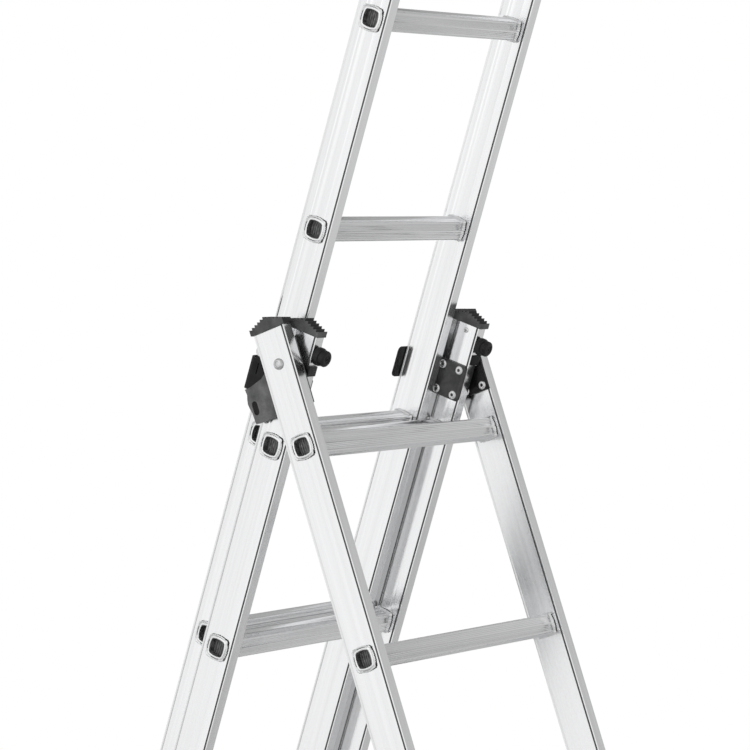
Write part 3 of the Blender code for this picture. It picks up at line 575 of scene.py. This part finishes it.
# ---- Brackets and hinge plates -----------------------------------------------------------------------------
# Pressed steel painted black or dark grey. The outer brackets wrap the stile and guide the upper section;
# tubular rivets, left bright, clinch them to the inner plates. The hinge plates are riveted inside the front stiles;
# they share one paint, coloured lighter on the left plate as painted light and near black on the right as painted
# shade.
def painted_steel(name, tone, shine):
    """Thin worn paint with a slight peel; tone is its lightness and shine its gloss."""
    made, shader, wire = new_finish(name)
    shader.inputs["Specular IOR Level"].default_value = shine
    peel = stretched(wire, 0.0, (420.0, 420.0, 420.0), 2.0)
    flow = stretched(wire, 0.0, (45.0, 45.0, 45.0), 4.0)
    feed(shader, "Base Color", grey(wire, tone * ((flow ** 2.0) * 3.0 + peel * 0.4)))
    feed(shader, "Roughness", 0.38 + (flow - 0.5) * 0.22)
    shader.inputs["Metallic"].default_value = 0.25
    bump = wire.node("ShaderNodeBump", {"Height": peel + flow, "Strength": 0.15, "Distance": 0.0004})
    feed(shader, "Normal", bump)
    return made


def zinc_steel(name, tone):
    """Bright zinc plating, brushed and blotched."""
    made, shader, wire = new_finish(name)
    brush = stretched(wire, 0.0, (900.0, 300.0, 900.0), 3.0)
    bloom = stretched(wire, 0.0, (110.0, 110.0, 110.0), 3.0)
    feed(shader, "Base Color", grey(wire, tone + (bloom - 0.5) * 0.3 + (brush - 0.5) * 0.12))
    feed(shader, "Roughness", 0.26 + (bloom - 0.5) * 0.2)
    shader.inputs["Metallic"].default_value = 1.0
    bump = wire.node("ShaderNodeBump", {"Height": brush, "Strength": 0.08, "Distance": 0.0003})
    feed(shader, "Normal", bump)
    return made


paint = painted_steel("grey_paint", 0.062, 0.5)
black_paint_and_recess_shade = painted_steel("black_paint_and_recess_shade", 0.010, 0.25)
# One paint in two copies: lighter on the left plate as painted light, near black on the right plate as painted
# shade.
hinge_lit_and_shaded_paint = {"left": painted_steel("left_hinge_painted_light", 0.12, 0.5),
               "right": painted_steel("right_hinge_painted_shade", 0.016, 0.3)}
zinc = zinc_steel("zinc_steel", 0.74)
grey_zinc = zinc_steel("grey_zinc", 0.62)
# Painted shade for the bottom of the cap screws' cross recess.
recess_painted_shade = shadow_gap("recess", LEAN)
CLEARANCE = 0.3
outer_face = half_width("front") - STILE_WIDTH - CLEARANCE
for side, sign in SIDES:
    finished_copy(f"middle_bracket_outer_{side}", "pressing", 0.3, [black_paint_and_recess_shade])
    finished_copy(f"middle_plate_inner_{side}", "pressing", 0.12, [paint])
    finishes = [hinge_lit_and_shaded_paint[side], black_paint_and_recess_shade]
    plate = finished_copy(f"front_hinge_plate_{side}", "pressing", 0.12, finishes)
    # The floor of each plate's blind oval recess takes the black paint as painted shade inside the hole.
    for face in plate.data.polygons:
        sunk = outer_face - abs(face.center.x) / MM
        if abs(face.normal.x) > 0.9 and 1.0 < sunk < 1.8:
            face.material_index = 1


def spun(profile, steps=36):
    """Turns a profile of (place along X, radius) about X into a closed body."""
    bm = bmesh.new()
    verts = [bm.verts.new((x * MM, 0, radius * MM)) for x, radius in profile]
    edges = [bm.edges.new(pair) for pair in zip(verts, verts[1:])]
    bmesh.ops.spin(bm, geom=verts + edges, cent=(0, 0, 0), axis=(1, 0, 0), angle=2 * math.pi,
                   steps=steps, use_merge=True)
    bmesh.ops.remove_doubles(bm, verts=bm.verts, dist=0.00001)
    bmesh.ops.recalc_face_normals(bm, faces=bm.faces)
    if bm.calc_volume(signed=True) < 0:
        bmesh.ops.reverse_faces(bm, faces=bm.faces)
    return bm


def moved(bm, matrix, mirror):
    """Moves a mesh to its place on the right, and mirrors it to the left where asked."""
    bmesh.ops.transform(bm, matrix=matrix, verts=bm.verts)
    if mirror:
        bmesh.ops.scale(bm, vec=(-1, 1, 1), verts=bm.verts)
        bmesh.ops.reverse_faces(bm, faces=bm.faces)
    return bm


MIDDLE_RIVETS = ((-13.0, 57.0), (-13.0, 92.5), (14.7, 57.0), (14.7, 92.5))
FRONT_RIVETS = ((-15.1, 58.7), (13.0, 58.7), (-15.1, 92.5), (13.0, 92.5))


def rivet_head(face):
    """An open tubular head standing on a face and facing the ladder's middle."""
    socket = [(face + 0.3, 0.0), (face - 0.1, 1.9), (face - 1.3, 2.1), (face - 1.7, 2.7)]
    rim = [(face - 1.75, 3.6), (face - 1.5, 4.6), (face - 1.0, 5.4), (face - 0.3, 5.9)]
    root = [(face + 0.5, 5.9), (face + 0.5, 0.0)]
    return spun(socket + rim + root)


RIVETED = (("middle", MIDDLE_RIVETS, "middle_plate_inner", 2.5), ("front", FRONT_RIVETS, "front_hinge_plate", 3.1))
for section, spots, node, proud in RIVETED:
    place = section_matrix(section)
    inner = half_width(section) - STILE_WIDTH
    face = inner - proud
    for side, sign in SIDES:
        heads = bmesh.new()
        for y, z in spots:
            add_to(heads, moved(rivet_head(face), Matrix.Translation((0, y * MM, z * MM)), sign < 0))
        group = piece_from(f"{section}_rivets_{side}", heads, [zinc])
        group.data.transform(place)
        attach(group, body_of_node[f"{node}_{side}"])


# ---- Hinge, bolts, screws and hooks ------------------------------------------------------------------------
# Zinc-plated steel: flat slide bars that carry the domed pivot bolts, the cap screws, the bar's bolts, the
# knobs' springs and the swinging hooks that lock the upper section on a rung.
for side, sign in SIDES:
    finished_copy(f"hinge_slide_{side}", "bar", 0.3, [zinc])
    finished_copy(f"rung_hook_{side}", "forging", 0.5, [zinc])
    finished_copy(f"rung_hook_pin_{side}", "pin", 0.25, [zinc])
    finished_copy(f"stabiliser_bolt_{side}", "bolt", 0.4, [zinc])
    spring = frame["nodes"][f"knob_spring_{side}"]
    spring.data.materials.clear()
    spring.data.materials.append(zinc)

RECESS_REACH = 2.3
for side, sign in SIDES:
    node = f"cap_screw_{side}"
    low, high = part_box(node)
    seat = min(abs(low[0]), abs(high[0])) / MM
    end = max(abs(low[0]), abs(high[0])) / MM
    profile = [(seat, 0.0), (seat + 0.15, 1.6), (seat + 0.5, 3.0), (seat + 1.1, 3.7), (seat + 1.6, 3.8)]
    profile += [(seat + 1.6, 1.9), (end, 1.9), (end, 0.0)]
    place = Matrix.Translation((0, (low[1] + high[1]) / 2, (low[2] + high[2]) / 2))
    head = moved(spun(profile), place, sign < 0)
    screw = piece_from(f"{node}_head", head, [zinc, recess_painted_shade])
    crown = Matrix.Translation((sign * seat * MM, *place.translation.yz))
    for turn in (0.5, 0.5 + math.pi / 2):
        recess = bmesh.new()
        bar = Matrix.Rotation(turn, 4, "X") @ Matrix.Diagonal((2.2 * MM, 0.8 * MM, 3.8 * MM, 1))
        bmesh.ops.create_cube(recess, size=1, matrix=crown @ bar)
        cut_from(screw, recess)
    # The bottom of the cross recess takes the dark grey as painted shade.
    for face in screw.data.polygons:
        inside = (face.center - place.translation).yz.length / MM < RECESS_REACH
        if inside and 0.9 < abs(face.center.x) / MM - seat < 1.3:
            face.material_index = 1
    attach(screw, body_of_node[node])
    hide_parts(node)

DOME_HEIGHT = 3.5
for side, sign in SIDES:
    node = f"hinge_bolt_{side}"
    low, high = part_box(node)
    outer = max(abs(low[0]), abs(high[0])) / MM
    inner = min(abs(low[0]), abs(high[0])) / MM
    seat = outer - DOME_HEIGHT
    shank = [(inner, 0.0), (inner, 4.0), (seat, 4.0), (seat, 7.3)]
    dome = [(seat + 0.5, 7.4), (seat + 1.2, 7.2), (seat + 2.1, 6.5), (seat + 2.9, 5.5), (seat + 3.4, 4.5)]
    socket = [(seat + 3.5, 3.9), (seat + 3.3, 3.5), (seat + 2.6, 3.2), (seat + 2.5, 1.9), (seat + 2.8, 1.2),
              (seat + 2.8, 0.0)]
    place = Matrix.Translation((0, (low[1] + high[1]) / 2, (low[2] + high[2]) / 2))
    head = moved(spun(shank + dome + socket), place, sign < 0)
    bolt = piece_from(f"{node}_dome", head, [grey_zinc])
    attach(bolt, body_of_node[node])
    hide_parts(node)


# ---- Knobs -------------------------------------------------------------------------------------------------
# Black moulded pull knobs on a plunger through the front of each middle stile: a wide fluted band, a plain one
# beyond a narrow neck, and a socket screw in the end that holds the knob on its plunger.
KNOB_HEIGHT = 132.5
KNOB_FOOT = STILE_HALF_DEPTH + CLEARANCE
FLUTES = 12
FLUTE_DEPTH = 0.35


def knob_mesh():
    """The knob and its plunger, spun about X, with the foot of the knob just off the stile's front."""
    foot = KNOB_FOOT
    plunger = [(-14.0, 0.0), (-14.0, 3.9), (-1.0, 3.9), (-1.0, 5.2), (1.0, 5.2), (1.0, 3.9), (foot + 0.3, 3.9)]
    band = [(foot + 0.3, 9.8), (foot + 0.9, 10.8), (foot + 2.4, 11.9), (foot + 3.2, 12.0), (foot + 8.4, 12.0),
            (foot + 9.3, 11.6), (foot + 9.9, 10.6)]
    neck = [(foot + 10.2, 10.0), (foot + 10.8, 10.0), (foot + 11.1, 10.6)]
    tip = [(foot + 16.0, 10.6), (foot + 17.2, 10.0), (foot + 18.1, 8.9), (foot + 18.4, 7.8), (foot + 18.4, 5.2)]
    screw = [(foot + 17.6, 4.9), (foot + 17.4, 3.2), (foot + 17.9, 3.0), (foot + 17.9, 1.6), (foot + 16.9, 1.5),
             (foot + 16.9, 0.0)]
    return spun(plunger + band + neck + tip + screw, 48)


def knob_grip(bm):
    """Presses shallow flutes into the knob's widest band."""
    for vert in bm.verts:
        x = vert.co.x / MM
        radius = math.hypot(vert.co.y, vert.co.z) / MM
        if KNOB_FOOT + 2.0 < x < KNOB_FOOT + 9.0 and radius > 11.0:
            angle = math.atan2(vert.co.z, vert.co.y)
            dip = FLUTE_DEPTH * (0.5 + 0.5 * math.cos(FLUTES * angle))
            vert.co.y *= 1 - dip / radius
            vert.co.z *= 1 - dip / radius
    return bm


knob_nylon = moulded_nylon("knob_nylon", 0.012, 0.3)
# The profile's axis, X, is turned to point to the ladder's front, which is -Y.
forward = Matrix(((0, -1, 0, 0), (-1, 0, 0, 0), (0, 0, -1, 0), (0, 0, 0, 1)))
for side, sign in SIDES:
    node = f"knob_{side}"
    centre_x = sign * (half_width("middle") - STILE_WIDTH / 2) * MM
    bm = knob_grip(knob_mesh())
    place = Matrix.Translation((centre_x, 0, KNOB_HEIGHT * MM))
    bmesh.ops.transform(bm, matrix=place @ forward, verts=bm.verts)
    bmesh.ops.recalc_face_normals(bm, faces=bm.faces)
    if bm.calc_volume(signed=True) < 0:
        bmesh.ops.reverse_faces(bm, faces=bm.faces)
    knob = piece_from(f"{node}_grip", bm, [knob_nylon], 35.0)
    knob.data.transform(section_matrix("middle"))
    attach(knob, body_of_node[node])
    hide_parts(node)


# ---- Stabiliser bar ----------------------------------------------------------------------------------------
# A rectangular aluminium tube across the feet of the front section, as bare as the rungs. A bolt at each stile
# holds it, and its ends sit in the moulded shoes.
bar_finish = drawn_aluminium("bar_aluminium", -LEAN, 0.88, along_x=True)
finished_copy("stabiliser_bar", "tube", 0.8, [bar_finish], segments=3)
